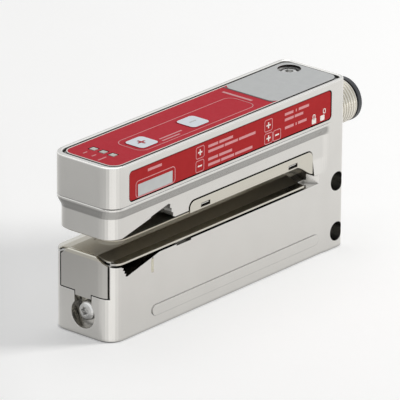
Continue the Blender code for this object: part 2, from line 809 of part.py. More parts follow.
def make_lower_guide():
    """Roof-shaped steel sheet with a front plate folded down over the arm's end and a screw tab."""
    steel = finish("guide_steel", (0.62, 0.60, 0.56), 0.22, 1.0)
    stations = roof_stations()
    bm = bmesh.new()
    top = []
    low = []
    for y in stations:
        start = arm_front(y)
        xs = (start, LOWER_GUIDE_END)
        top.append([bm.verts.new((x, y, roof(y))) for x in xs])
        low.append([bm.verts.new((x, y, roof(y) - LOWER_SHEET)) for x in xs])
    for i in range(len(stations) - 1):
        j = i + 1
        bm.faces.new((top[i][0], top[i][1], top[j][1], top[j][0]))
        bm.faces.new((low[i][0], low[j][0], low[j][1], low[i][1]))
        bm.faces.new((top[i][0], top[j][0], low[j][0], low[i][0]))
        bm.faces.new((top[i][1], low[i][1], low[j][1], top[j][1]))
    for i in (0, len(stations) - 1):
        bm.faces.new((top[i][0], low[i][0], low[i][1], top[i][1]))
    guide = solid("lower_guide_plate", bm, steel)
    cut(guide, *corner_slits())
    low_y = PLATE_NEAR
    high_y = PLATE_FAR
    plan = front_contour(0.0, low_y, high_y) + list(reversed(front_contour(LOWER_SHEET, low_y, high_y)))
    bend = PLATE_BASE - TAB_BEND
    plate = prism("plate", plan, "z", bend, GUIDE_CROWN)
    tab_low = TAB_Y - TAB_HALF
    tab_high = TAB_Y + TAB_HALF
    face = [(low_y, PLATE_BASE), (tab_low, PLATE_BASE), (tab_low, bend - 0.001)]
    face += [(tab_high, bend - 0.001), (tab_high, PLATE_BASE), (high_y, PLATE_BASE)]
    face += [(high_y, PLATE_SHOULDER), (GUIDE_FLAT, GUIDE_CROWN + 0.0001)]
    face += [(-GUIDE_FLAT, GUIDE_CROWN + 0.0001), (low_y, PLATE_SHOULDER)]
    keep_common(plate, prism("mask", face, "x", -0.001, PLATE_DEPTH))
    thick = LOWER_SHEET
    fold = thick * 0.4
    foot = bend - TAB_SLOPE
    side = [(0, bend + thick), (0, bend), (TAB_DEPTH, foot), (TAB_DEPTH, SCREW_Z - TAB_REACH)]
    side += [(TAB_DEPTH + thick, SCREW_Z - TAB_REACH), (TAB_DEPTH + thick, foot + fold)]
    side += [(thick, bend + fold), (thick, bend + thick)]
    tab = prism("tab", side, "y", tab_low, tab_high)
    join(guide, plate, tab)
    cut(guide, fold_round())
    hole = beam_point(GUIDE_CROWN)
    cut(guide, rod("hole", hole - Vector((0, 0, 0.003)), hole + Vector((0, 0, 0.003)), SOUND_HOLE, 32))
    shank = SCREW_SHANK + CLEAR
    centre = Vector((TAB_DEPTH, TAB_Y, SCREW_Z))
    cut(guide, rod("hole", centre - Vector((0.001, 0, 0)), centre + Vector((0.002, 0, 0)), shank, 20))
    smooth(guide, 20.0)
    return guide


def make_upper_guide():
    """Flat steel sheet under the nose, folded up into two windowed flanges that snap on."""
    steel = finish("guide_steel_warm", (0.66, 0.63, 0.56), 0.25, 1.0)
    front = NOSE_SETBACK + UPPER_GUIDE_SETBACK + CORNER_RADIUS
    near = arc(front, -NOSE_HALF + CORNER_RADIUS, CORNER_RADIUS, 180, 270, 8)
    rear = THROAT - CLEAR
    plan = near + [(rear, -NOSE_HALF), (rear, NOSE_HALF)]
    plan += [(x, -y) for x, y in reversed(near)]
    guide = prism("upper_guide_plate", plan, "z", UPPER_FACE, UPPER_FACE + UPPER_SHEET, steel)
    outer = NOSE_HALF + FLANGE_PROUD
    for side in (-1, 1):
        span = sorted((side * (outer - FLANGE_THICK), side * outer))
        join(guide, prism("flange", flange_outline(), "y", *span))
    for x0, low in window_corners():
        box = rectangle(x0, x0 + WINDOW_LENGTH, low, low + WINDOW_HEIGHT)
        for side in (-1, 1):
            span = sorted((side * (outer - 2 * FLANGE_THICK), side * (outer + 0.001)))
            cut(guide, prism("window", box, "y", *span))
    hole = beam_point(UPPER_FACE)
    cut(guide, rod("hole", hole - Vector((0, 0, 0.002)), hole + Vector((0, 0, 0.002)), SOUND_HOLE, 32))
    smooth(guide)
    return guide


def make_guide_screw():
    """Pan head screw that clamps the lower guide's tab."""
    steel = finish("bright_steel", (0.74, 0.73, 0.71), 0.2, 1.0)
    seat = TAB_DEPTH - CLEAR
    tall = SCREW_HEAD_TALL
    head = SCREW_HEAD
    profile = [(0, 0), (0, head * 0.52), (tall * 0.12, head * 0.78), (tall * 0.4, head * 0.95)]
    profile += [(tall * 0.7, head), (tall, head), (tall, SCREW_SHANK)]
    end = tall + SCREW_LENGTH - 2 * CLEAR
    profile += [(end - 0.0006, SCREW_SHANK), (end, SCREW_SHANK * 0.6), (end, 0)]
    place = (seat - tall, TAB_Y, SCREW_Z)
    screw = turned("guide_screw", profile, place, (1, 0, 0), 24, steel)
    cut(screw, star_socket(place, head * 0.5, 0.0009))
    smooth(screw)
    return screw


def star_socket(origin, radius, depth):
    """Six-lobed driver recess."""
    points = []
    for i in range(24):
        angle = math.tau * i / 24
        reach = radius * (0.86 + 0.14 * math.cos(6 * angle))
        points.append((origin[1] + reach * math.cos(angle), origin[2] + reach * math.sin(angle)))
    return prism("socket", points, "x", origin[0] - 0.001, origin[0] + depth)


def make_transducer(name, face, way, material):
    """Round ultrasonic can with a recessed membrane and two solder posts."""
    radius = CAN_RADIUS
    profile = [(0.0004, 0), (0.0004, radius * 0.8), (0, radius * 0.84), (0, radius - 0.0003)]
    profile += [(0.0003, radius), (CAN_LENGTH, radius), (CAN_LENGTH, 0)]
    start = face + way * CAN_SINK
    can = turned(name, profile, start, way, 36, material)
    smooth(can)
    return can


def make_holder(name, face, way, material):
    """Soft sleeve round the can, open at both ends."""
    inner = CAN_RADIUS + CLEAR
    outer = inner + HOLDER_WALL
    long = CAN_LENGTH + 0.0004
    profile = [(0, inner), (0, outer - 0.0002), (0.0002, outer), (long, outer), (long, inner)]
    holder = turned(name, profile, face + way * CAN_SINK, way, 36, material)
    smooth(holder)
    return holder


def make_sound_heads():
    alloy = finish("can_alloy", (0.60, 0.60, 0.60), 0.35, 1.0)
    rubber = finish("dark_rubber", (0.03, 0.03, 0.03), 0.7, 0.0)
    way = beam_way()
    make_transducer("receiver_transducer", receiver_face(), way, alloy)
    make_holder("receiver_holder", receiver_face(), way, rubber)
    make_transducer("emitter_transducer", emitter_face(), -way, alloy)
    make_holder("emitter_holder", emitter_face(), -way, rubber)


def make_emitter_lead():
    """Lead from the emitter, along the groove, up the duct and under the board."""
    down = -beam_way()
    across = Vector((-down.z, 0.0, down.x))
    back = emitter_face() + down * (CAN_SINK + CAN_LENGTH + 2 * CLEAR + 1.6 * LEAD_RADIUS)
    corner = back + across * (bore_radius() + LEAD_RADIUS)
    run = LEAD_FLOOR + LEAD_RADIUS + CLEAR
    up = DUCT_BACK - DUCT_LENGTH / 2
    under = BOARD_BASE - LEAD_RADIUS - CLEAR
    knots = [back - across * 0.001, back + across * 0.002, back + across * 0.005, corner]
    route = [(corner.x + 0.0018, corner.z + 0.0022), (corner.x + 0.0028, run - 0.001), (corner.x + 0.005, run)]
    route += [(corner.x + 0.012, run), (LEAD_DIVE - 0.030, run), (LEAD_DIVE - 0.004, run)]
    route.append((up - 0.0035, run))
    route += [(up - 0.0008, run + 0.0008), (up, run + 0.0035), (up, BAY_FLOOR - 0.006), (up, BAY_FLOOR)]
    route += [(up - 0.0008, under - 0.0018), (up - 0.003, under - 0.0006), (up - 0.006, under - 0.0002)]
    route.append((up - 0.009, under))
    knots += [Vector((x, 0.0, z)) for x, z in route]
    points = smooth_route(knots, 4)
    sheath = finish("lead_sheath", (0.05, 0.05, 0.05), 0.5, 0.0)
    lead = swept("emitter_lead", points, LEAD_RADIUS, 10, sheath)
    smooth(lead)
    return lead


def swept(name, points, radius, sides, material):
    """Round tube body along a path that stays in one upright plane."""
    bm = bmesh.new()
    rings = []
    for i, point in enumerate(points):
        way = (points[min(i + 1, len(points) - 1)] - points[max(i - 1, 0)]).normalized()
        normal = Vector((-way.z, 0.0, way.x))
        ring = []
        for k in range(sides):
            angle = math.tau * k / sides
            spoke = normal * math.cos(angle) + Vector((0, 1, 0)) * math.sin(angle)
            ring.append(bm.verts.new(point + radius * spoke))
        rings.append(ring)
    for a, b in zip(rings, rings[1:]):
        for k in range(sides):
            j = (k + 1) % sides
            bm.faces.new((a[k], a[j], b[j], b[k]))
    bm.faces.new(rings[0])
    bm.faces.new(rings[-1])
    return solid(name, bm, material)


def smooth_route(knots, steps):
    """Points along a Catmull-Rom curve through the knots."""
    points = []
    ends = [knots[0] * 2 - knots[1]] + knots + [knots[-1] * 2 - knots[-2]]
    for i in range(1, len(ends) - 2):
        a, b, c, d = ends[i - 1:i + 3]
        for s in range(steps):
            t = s / steps
            points.append(0.5 * (2 * b + (c - a) * t + (2 * a - 5 * b + 4 * c - d) * t * t
                                 + (3 * b - a - 3 * c + d) * t * t * t))
    points.append(knots[-1].copy())
    return points


def lamp_places():
    return [(LAMP_X, LAMP_Y + LAMP_PITCH * i) for i in (1, 0, -1)]


def square_hole(x, y, long, wide, spare, low, high):
    box = rectangle(x - long / 2 - spare, x + long / 2 + spare, y - wide / 2 - spare, y + wide / 2 + spare)
    return prism("hole", box, "z", low, high)


def make_cover():
    """Lid of the electronics bay, with holes for the lamps, the switch buttons and its screw."""
    plastic = finish("cover_plastic", (0.25, 0.25, 0.26), 0.5, 0.0)
    cover = loft("top_cover", [(COVER_BASE, recess_outline(CLEAR)), (COVER_TOP, recess_outline(CLEAR))],
                 plastic)
    low = COVER_BASE - 0.001
    high = COVER_TOP + 0.001
    for x, y in lamp_places():
        cut(cover, square_hole(x, y, LAMP_LONG, LAMP_WIDE, CLEAR, low, high))
    for x in KEY_X:
        cut(cover, rod("hole", (x, KEY_Y, low), (x, KEY_Y, high), SWITCH_BUTTON + CLEAR, 20))
    cut(cover, rod("hole", (CAP_X, CAP_Y, low), (CAP_X, CAP_Y, high), CAP_SHANK + CLEAR, 20))
    seat = FOIL_TOP - CAP_SINK - CAP_HEAD_TALL - CLEAR
    cut(cover, rod("hole", (CAP_X, CAP_Y, seat), (CAP_X, CAP_Y, high), CAP_HEAD + CLEAR, 32))
    smooth(cover)
    return cover


def make_foil():
    """Control foil on the cover, with two raised key fields and openings for lamps and screw."""
    film = finish("control_film", (0.42, 0.03, 0.04), 0.35, 0.0)
    base = FOIL_TOP - FOIL_THICK
    foil = loft("control_foil", [(base, foil_outline()), (FOIL_TOP, foil_outline())], film)
    low = base - 0.001
    high = FOIL_TOP + 0.001
    for x, y in lamp_places():
        cut(foil, square_hole(x, y, LAMP_LONG, LAMP_WIDE, CLEAR, low, high))
    cut(foil, rod("hole", (CAP_X, CAP_Y, low), (CAP_X, CAP_Y, high), CAP_WINDOW, 32))
    half = KEY_SIZE / 2
    for x in KEY_X:
        box = rounded_rectangle(x - half, x + half, KEY_Y - half, KEY_Y + half, KEY_CORNER)
        join(foil, prism("key", box, "z", base + FOIL_THICK / 2, FOIL_TOP + KEY_RISE))
    smooth(foil)
    return foil


def make_label():
    film = finish("label_film", (0.40, 0.03, 0.03), 0.4, 0.0)
    box = rounded_rectangle(LABEL_START, LABEL_END, LABEL_LOW, LABEL_LOW + LABEL_TALL, LABEL_CORNER)
    outer = -HALF + LABEL_SUNK
    label = prism("side_label", box, "y", outer, outer + LABEL_THICK, film)
    smooth(label)
    return label


def make_board():
    """Circuit board on the bay's ledge, with the lamp dies and the key switches on it."""
    epoxy = finish("board_epoxy", (0.02, 0.12, 0.05), 0.45, 0.0)
    half = BAY_HALF - CLEAR
    box = rounded_rectangle(BAY_FRONT + CLEAR, BAY_BACK - CLEAR, -half, half, 0.0012, 3)
    prism("circuit_board", box, "z", BOARD_BASE, BOARD_TOP, epoxy)
    die = finish("lamp_die", (0.8, 0.75, 0.5), 0.4, 0.0)
    clear = finish("clear_guide", (0.8, 0.8, 0.78), 0.15, 0.0)
    for i, (x, y) in enumerate(lamp_places(), 1):
        box = rectangle(x - DIE_LONG / 2, x + DIE_LONG / 2, y - DIE_WIDE / 2, y + DIE_WIDE / 2)
        low = BOARD_TOP + CLEAR
        prism(f"indicator_led_{i}", box, "z", low, low + DIE_TALL, die)
        foot = low + DIE_TALL + CLEAR
        long = LAMP_LONG / 2
        wide = LAMP_WIDE / 2
        guide = prism(f"light_guide_{i}", rectangle(x - long, x + long, y - wide, y + wide), "z",
                      foot, FOIL_TOP, clear)
        long += LAMP_FOOT
        wide += LAMP_FOOT
        shoulder = rectangle(x - long, x + long, y - wide, y + wide)
        join(guide, prism("foot", shoulder, "z", foot, COVER_BASE - CLEAR))
    case = finish("switch_case", (0.06, 0.06, 0.06), 0.5, 0.0)
    for i, x in enumerate(KEY_X, 1):
        half = SWITCH_SIZE / 2
        low = BOARD_TOP + CLEAR
        box = rounded_rectangle(x - half, x + half, KEY_Y - half, KEY_Y + half, 0.0004, 2)
        switch = prism(f"key_switch_{i}", box, "z", low, low + SWITCH_TALL, case)
        top = FOIL_TOP - FOIL_THICK - CLEAR
        join(switch, rod("button", (x, KEY_Y, low + 0.0005), (x, KEY_Y, top), SWITCH_BUTTON, 20))
        smooth(switch)


def make_cover_screw():
    """Low round screw in the rear corner of the cover."""
    steel = finish("cap_steel", (0.70, 0.69, 0.67), 0.25, 1.0)
    tall = CAP_HEAD_TALL
    head = CAP_HEAD
    profile = [(0, 0), (0, head * 0.7), (tall * 0.25, head * 0.93), (tall * 0.6, head), (tall, head)]
    end = tall + CAP_LENGTH - CLEAR
    profile += [(tall, CAP_SHANK), (end - 0.0004, CAP_SHANK), (end, CAP_SHANK * 0.6), (end, 0)]
    top = FOIL_TOP - CAP_SINK
    screw = turned("cover_screw", profile, (CAP_X, CAP_Y, top), (0, 0, -1), 28, steel)
    hexagon = [(CAP_X + x, CAP_Y + y) for x, y in arc(0, 0, CAP_SOCKET, 0, 300, 5)]
    cut(screw, prism("socket", hexagon, "z", top - CAP_SOCKET_DEPTH, top + 0.001))
    smooth(screw)
    return screw


def pin_places():
    """Four contacts on a circle and one in the middle."""
    ring = [(PIN_CIRCLE * math.cos(math.radians(a)), PIN_CIRCLE * math.sin(math.radians(a)))
            for a in (45, 135, 225, 315)]
    return ring + [(0.0, 0.0)]


def make_connector():
    """Threaded sleeve, its seal, the moulded insert with its end ring, and five contact pins."""
    brass = finish("sleeve_nickel", (0.62, 0.60, 0.54), 0.3, 1.0)
    black = finish("insert_plastic", (0.03, 0.03, 0.035), 0.45, 0.0)
    gold = finish("contact_gold", (0.80, 0.60, 0.25), 0.25, 1.0)
    origin = (BODY_LENGTH, 0, PLUG_Z)
    x_way = (1, 0, 0)
    start = 2 * CLEAR
    end = start + THREAD_LENGTH
    rim = THREAD_RADIUS - 0.0004
    profile = [(-SHANK_LENGTH, SLEEVE_BORE), (-SHANK_LENGTH, SHANK_RADIUS), (start, SHANK_RADIUS)]
    profile += [(start, THREAD_RADIUS), (end - 0.0004, THREAD_RADIUS), (end, rim), (end, SLEEVE_BORE)]
    smooth(turned("connector_sleeve", profile, origin, x_way, 48, brass))
    middle = SHANK_RADIUS + CLEAR + SEAL_RADIUS
    centre = -SEAL_RADIUS + CLEAR
    ring = [(centre + a, middle + b) for a, b in arc(0, 0, SEAL_RADIUS, 0, 315, 7)]
    smooth(turned("connector_seal", ring, origin, x_way, 48, finish("seal_rubber", (0.02, 0.02, 0.02), 0.6, 0.0)))
    body = SLEEVE_BORE - CLEAR
    front = end + CLEAR + END_RING_LENGTH
    profile = [(-SHANK_LENGTH + 0.001, 0), (-SHANK_LENGTH + 0.001, body), (end + CLEAR, body)]
    profile += [(end + CLEAR, END_RING_RADIUS), (front - 0.0003, END_RING_RADIUS)]
    profile += [(front, END_RING_RADIUS - 0.0003), (front, CUP_BORE), (CUP_FLOOR, CUP_BORE), (CUP_FLOOR, 0)]
    insert = turned("connector_insert", profile, origin, x_way, 48, black)
    key = rectangle(-0.0007, 0.0007, PLUG_Z + CUP_BORE - 0.0006, PLUG_Z + CUP_BORE + 0.0002)
    join(insert, prism("key", key, "x", BODY_LENGTH + CUP_FLOOR - 0.0002, BODY_LENGTH + front - 0.002))
    rear = BODY_LENGTH - SHANK_LENGTH
    for i, (y, dz) in enumerate(pin_places(), 1):
        z = PLUG_Z + dz
        cut(insert, rod("hole", (rear - 0.001, y, z), (BODY_LENGTH + CUP_FLOOR + 0.001, y, z),
                        PIN_RADIUS + CLEAR, 16))
        tip = BODY_LENGTH + front - PIN_RECESS
        long = tip - rear
        profile = [(0, 0), (0, PIN_RADIUS), (long - 0.0005, PIN_RADIUS)]
        profile += [(long - 0.0002, PIN_RADIUS * 0.7), (long, PIN_RADIUS * 0.3), (long, 0)]
        smooth(turned(f"contact_pin_{i}", profile, (rear, y, z), x_way, 12, gold))
    smooth(insert)


def make_connector_flex():
    """Flat strip that lies behind the contacts and folds forward under the board."""
    copper = finish("flex_film", (0.35, 0.17, 0.05), 0.4, 0.0)
    x = BODY_LENGTH - SHANK_LENGTH - CLEAR
    fold = PLUG_Z + SHANK_RADIUS - FLEX_REACH
    high = BOARD_BASE - CLEAR
    turn = BAY_BACK + 0.0002
    front = BAY_BACK - FLEX_REACH
    low = PLUG_Z - PIN_CIRCLE
    thick = FLEX_THICK
    side = [(x, low), (x, fold), (turn, high), (front, high), (front, high - thick)]
    side += [(turn - thick / 2, high - thick), (x - thick, fold - thick / 2), (x - thick, low)]
    flex = prism("connector_flex", side, "y", -FLEX_HALF, FLEX_HALF, copper)
    smooth(flex)
    return flex


def build():
    global ROOT
    clear_scene()
    ROOT = bpy.data.objects.new("sensor_frame", None)
    bpy.context.collection.objects.link(ROOT)
    ROOT.location = (-BODY_LENGTH / 2, 0, 0)
    bpy.context.view_layer.update()
    make_housing()
    make_lower_guide()
    make_upper_guide()
    make_guide_screw()
    make_sound_heads()
    make_emitter_lead()
    make_cover()
    make_foil()
    make_label()
    make_board()
    make_cover_screw()
    make_connector()
    make_connector_flex()


build()
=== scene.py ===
# %% [markdown]
# The fork sensor's looks.
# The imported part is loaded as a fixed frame. Its bare nodes get finishes here, and the things that
# a CAD part leaves out are modelled over it: the printed fields, the screw thread and small marks.
# The sensor is about 104 mm long. Sizes below are in metres, and x counts from its middle.

import math

import bpy
from mathutils import Matrix, Vector


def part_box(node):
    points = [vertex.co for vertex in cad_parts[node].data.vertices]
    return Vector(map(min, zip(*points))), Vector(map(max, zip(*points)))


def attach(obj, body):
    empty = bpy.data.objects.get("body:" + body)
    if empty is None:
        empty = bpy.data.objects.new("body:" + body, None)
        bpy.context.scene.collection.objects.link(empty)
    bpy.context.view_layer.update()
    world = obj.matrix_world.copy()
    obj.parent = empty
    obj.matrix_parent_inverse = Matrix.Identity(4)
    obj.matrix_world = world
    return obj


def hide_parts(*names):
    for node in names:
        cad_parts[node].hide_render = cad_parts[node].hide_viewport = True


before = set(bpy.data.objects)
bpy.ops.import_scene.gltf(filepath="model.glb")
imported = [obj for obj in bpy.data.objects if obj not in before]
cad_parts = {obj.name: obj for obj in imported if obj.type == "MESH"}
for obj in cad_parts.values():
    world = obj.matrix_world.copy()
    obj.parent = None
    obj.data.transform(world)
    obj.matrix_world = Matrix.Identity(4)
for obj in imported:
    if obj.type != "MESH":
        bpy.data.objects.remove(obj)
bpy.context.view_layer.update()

# %% [markdown]
# The camera stands far off with a long lens, in front of the near corner and a little above it.
# A long lens keeps the sensor's edges nearly parallel, as in a catalogue picture. Its place is
# worked out from an azimuth and an elevation, because those can be read from a picture's edges.

# %% Camera
AZIMUTH = math.radians(-49.658)
ELEVATION = math.radians(21.342)
ROLL = math.radians(0.378)
AIM = Vector((-0.000212, -0.000024, 0.023158))
DISTANCE = 1.367036
LENS = 481.52

back = Vector((
    math.sin(AZIMUTH) * math.cos(ELEVATION),
    -math.cos(AZIMUTH) * math.cos(ELEVATION),
    math.sin(ELEVATION),
))
flat_right = Vector((math.cos(AZIMUTH), math.sin(AZIMUTH), 0.0))
flat_up = back.cross(flat_right)
right = math.cos(ROLL) * flat_right + math.sin(ROLL) * flat_up
up = math.cos(ROLL) * flat_up - math.sin(ROLL) * flat_right
bpy.ops.object.camera_add()
camera = bpy.context.object
camera.name = "catalogue_camera"
camera.data.sensor_width = 36.0
camera.data.lens = LENS
camera.matrix_world = (
    Matrix.Translation(AIM + back * DISTANCE) @ Matrix((right, up, back)).transposed().to_4x4()
)
bpy.context.scene.camera = camera
print("camera at", [round(v, 3) for v in camera.location])

# %% [markdown]
# A nickel plated body shows its surroundings more than itself, so the room matters more than the
# lamps. Seen from this height, the upright faces mirror the floor next to the sensor. A wide soft
# lamp hangs above. A small one stands low on the right and lights the near side, and it is hidden
# from mirror rays, so it leaves no bright spot in the plate. What makes the front face darker than
# the side is the colour of the floor that it mirrors, which comes further down.

# %% Floor and lamps
FLOOR_SIDE = 6.0
LAMP_WHITE = (1.0, 0.99, 0.97)
TOP_POWER = 3.8
SIDE_POWER = 8.5


def soft_lamp(name, place, target, size, power, colour, mirrored=True):
    bpy.ops.object.light_add(type="AREA", location=place)
    lamp = bpy.context.object
    lamp.name = name
    lamp.data.shape = "RECTANGLE"
    lamp.data.size = size[0]
    lamp.data.size_y = size[1]
    lamp.data.energy = power
    lamp.data.color = colour
    direction = Vector(target) - Vector(place)
    lamp.rotation_euler = direction.to_track_quat("-Z", "Y").to_euler()
    lamp.visible_glossy = mirrored
    return lamp


bpy.ops.mesh.primitive_plane_add(size=FLOOR_SIDE, location=(0.0, 0.0, 0.0))
floor = bpy.context.object
floor.name = "studio_floor"
soft_lamp("top_lamp", (0.15, 0.15, 1.1), (0.0, 0.0, 0.0), (1.0, 1.0), TOP_POWER, LAMP_WHITE)
soft_lamp("side_lamp", (0.70, -0.60, 0.40), (0.0, 0.0, 0.01), (0.30, 0.30), SIDE_POWER, LAMP_WHITE,
          mirrored=False)

# %% World
world = bpy.context.scene.world or bpy.data.worlds.new("studio")
bpy.context.scene.world = world
world.use_nodes = True
bpy.context.scene.view_settings.view_transform = "Standard"

# %% [markdown]
# Every finish is built from the same few parts: a slow noise for clouds in the colour, a finer one
# for the gloss, and a fine one for the relief. Sizes are the real grain, in metres. All patterns
# use Object coordinates, so they stay fixed on the part from every side.

# %% Node helpers
FLAT = (1.0, 1.0, 1.0)


def node(tree, kind, **settings):
    made = tree.nodes.new(kind)
    for key, value in settings.items():
        setattr(made, key, value)
    return made


def noise(tree, grain, detail=3.0, stretch=FLAT):
    place = node(tree, "ShaderNodeTexCoord")
    turn = node(tree, "ShaderNodeMapping")
    turn.inputs["Scale"].default_value = stretch
    pattern = node(tree, "ShaderNodeTexNoise")
    pattern.inputs["Scale"].default_value = 1.0 / grain
    pattern.inputs["Detail"].default_value = detail
    tree.links.new(place.outputs["Object"], turn.inputs["Vector"])
    tree.links.new(turn.outputs["Vector"], pattern.inputs["Vector"])
    return pattern.outputs["Fac"]


def spread(tree, value, low, high, start=0.3, end=0.7):
    scale = node(tree, "ShaderNodeMapRange")
    scale.inputs["From Min"].default_value = start
    scale.inputs["From Max"].default_value = end
    scale.inputs["To Min"].default_value = low
    scale.inputs["To Max"].default_value = high
    tree.links.new(value, scale.inputs["Value"])
    return scale.outputs["Result"]


def blend(tree, factor, first, second):
    mix = node(tree, "ShaderNodeMix", data_type="RGBA")
    for value, socket in ((first, mix.inputs[6]), (second, mix.inputs[7])):
        if isinstance(value, tuple):
            socket.default_value = (*value, 1.0)
        else:
            tree.links.new(value, socket)
    tree.links.new(factor, mix.inputs[0])
    return mix.outputs[2]


def seen_rays(tree):
    """Is 1 for rays that come from the camera, a mirror or a window, and 0 for scattered light."""
    path = node(tree, "ShaderNodeLightPath")
    total = path.outputs["Is Camera Ray"]
    for name in ("Is Glossy Ray", "Is Transmission Ray"):
        step = node(tree, "ShaderNodeMath", operation="MAXIMUM")
        tree.links.new(total, step.inputs[0])
        tree.links.new(path.outputs[name], step.inputs[1])
        total = step.outputs["Value"]
    return total


# %% World light
ROOM_LIGHT = 0.25
ROOM_SEEN = 0.92
ROOM_TINT = (0.97, 0.985, 1.0, 1.0)

room = world.node_tree
room.nodes["Background"].inputs["Color"].default_value = ROOM_TINT
room.links.new(spread(room, seen_rays(room), ROOM_LIGHT, ROOM_SEEN, 0.0, 1.0),
               room.nodes["Background"].inputs["Strength"])


# %% [markdown]
# Plated metal gets painted light laid into its colour. Rounded edges are painted brighter than flats,
# as a painted highlight. Faces that look down are painted darker, as a painted shade, and an occlusion
# node paints shade into the corners of grooves and cut-outs. All three follow the shape, so they hold
# from every side. A box mask is the fourth helper. It paints one region of a piece in a tone of its
# own, which here is always painted shade.

# %% Painted highlight and shade on metal
HIGHLIGHT_SPAN = (0.75, 0.97)
DOWN_SHADE_SPAN = (-0.20, -0.01)
CORNER_SHADE_SPAN = (0.25, 0.85)
MASK_EDGE = 0.0001


def scaled(tree, colour, factor):
    step = node(tree, "ShaderNodeVectorMath", operation="SCALE")
    tree.links.new(colour, step.inputs[0])
    tree.links.new(factor, step.inputs["Scale"])
    return step.outputs["Vector"]


def largest_side(tree, normal):
    """The largest of a normal's three sides: 1 on a flat, and less on a rounded edge."""
    size = node(tree, "ShaderNodeVectorMath", operation="ABSOLUTE")
    tree.links.new(normal, size.inputs[0])
    split = node(tree, "ShaderNodeSeparateXYZ")
    tree.links.new(size.outputs["Vector"], split.inputs[0])
    total = split.outputs["X"]
    for name in ("Y", "Z"):
        step = node(tree, "ShaderNodeMath", operation="MAXIMUM")
        tree.links.new(total, step.inputs[0])
        tree.links.new(split.outputs[name], step.inputs[1])
        total = step.outputs["Value"]
    return total


# Paints a highlight on rounded edges, shade on faces that look down, and shade in corners found by
# occlusion.
def highlight_and_shade(tree, colour, normal, bright, down_shade, corner_shade, reach):
    colour = scaled(tree, colour, spread(tree, largest_side(tree, normal), bright, 1.0, *HIGHLIGHT_SPAN))
    split = node(tree, "ShaderNodeSeparateXYZ")
    tree.links.new(normal, split.inputs[0])
    colour = scaled(tree, colour, spread(tree, split.outputs["Z"], down_shade, 1.0, *DOWN_SHADE_SPAN))
    corner = node(tree, "ShaderNodeAmbientOcclusion", samples=8)
    corner.inputs["Distance"].default_value = reach
    return scaled(tree, colour, spread(tree, corner.outputs["AO"], corner_shade, 1.0, *CORNER_SHADE_SPAN))


def inside_box(tree, low, high):
    """Is 1 inside a box given in Object coordinates, and 0 outside it."""
    place = node(tree, "ShaderNodeTexCoord")
    total = None
    for first, second in ((place.outputs["Object"], low), (high, place.outputs["Object"])):
        step = node(tree, "ShaderNodeVectorMath", operation="SUBTRACT")
        for value, socket in ((first, step.inputs[0]), (second, step.inputs[1])):
            if isinstance(value, tuple):
                socket.default_value = value
            else:
                tree.links.new(value, socket)
        split = node(tree, "ShaderNodeSeparateXYZ")
        tree.links.new(step.outputs["Vector"], split.inputs[0])
        for name in "XYZ":
            if total is None:
                total = split.outputs[name]
                continue
            least = node(tree, "ShaderNodeMath", operation="MINIMUM")
            tree.links.new(total, least.inputs[0])
            tree.links.new(split.outputs[name], least.inputs[1])
            total = least.outputs["Value"]
    return spread(tree, total, 0.0, 1.0, 0.0, MASK_EDGE)


# %% Finish helper
CLOUD_GRAINS = 20.0
SHEEN_GRAINS = 6.0
RELIEF_DEPTH = 0.25


def finish(name, colour, second, gloss, grain, relief, metal=0.0, stretch=FLAT, edge=0.0, painted_light=None,
           shine=0.5):
    material = bpy.data.materials.new(name)
    material.use_nodes = True
    tree = material.node_tree
    shader = tree.nodes["Principled BSDF"]
    shader.inputs["Metallic"].default_value = metal
    shader.inputs["Specular IOR Level"].default_value = shine
    clouds = noise(tree, grain * CLOUD_GRAINS, 2.0, stretch)
    paint = blend(tree, spread(tree, clouds, 0.0, 1.0), colour, second)
    sheen = noise(tree, grain * SHEEN_GRAINS, 4.0, stretch)
    tree.links.new(spread(tree, sheen, *gloss), shader.inputs["Roughness"])
    bump = node(tree, "ShaderNodeBump")
    bump.inputs["Strength"].default_value = relief
    bump.inputs["Distance"].default_value = grain * RELIEF_DEPTH
    tree.links.new(noise(tree, grain, 3.0, stretch), bump.inputs["Height"])
    if edge:
        rounding = node(tree, "ShaderNodeBevel", samples=8)
        rounding.inputs["Radius"].default_value = edge
        tree.links.new(rounding.outputs["Normal"], bump.inputs["Normal"])
        # The painted edge highlight and painted shade go on only when they are asked for.
        if painted_light:
            paint = highlight_and_shade(tree, paint, rounding.outputs["Normal"], *painted_light)
    tree.links.new(paint, shader.inputs["Base Color"])
    tree.links.new(bump.outputs["Normal"], shader.inputs["Normal"])
    return material


def dress(material, *names):
    for name in names:
        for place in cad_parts[name].material_slots:
            place.material = material
    print(material.name, "on", ", ".join(names))


# %% [markdown]
# The housing is a zinc die casting with a satin nickel plate: warm grey, softly glossy, and very
# smooth. The plate rounds every sharp edge a little, which the shader's bevel node stands for. The
# serrated cut-outs are shaded deep inside, which light alone doesn't give here, so they are painted
# nearly black with two box masks.

# %% Nickel housing
# Painted shade: the inside of the serrated cut-outs is painted nearly black.
CUT_OUT_SHADE = (0.110, 0.096, 0.078)
CUT_OUTS = (
    ((-0.0419, -0.01012, 0.0150), (-0.0268, 0.01012, 0.0208)),
    ((-0.0408, -0.00945, 0.0262), (-0.0238, 0.00945, 0.0316)),
)
# The nickel gets the painted highlight on rounded edges and painted shade on down-facing faces and in
# corners.
nickel = finish("satin_nickel", (0.65, 0.637, 0.61), (0.635, 0.622, 0.595), (0.20, 0.24), 0.00030, 0.02,
                metal=1.0, edge=0.00012, painted_light=(1.40, 0.5, 0.34, 0.0015))
tree = nickel.node_tree
shader = tree.nodes["Principled BSDF"]
for low, high in CUT_OUTS:
    plain = shader.inputs["Base Color"].links[0].from_socket
    dark = blend(tree, inside_box(tree, low, high), plain, CUT_OUT_SHADE)
    tree.links.new(dark, shader.inputs["Base Color"])
dress(nickel, "housing")
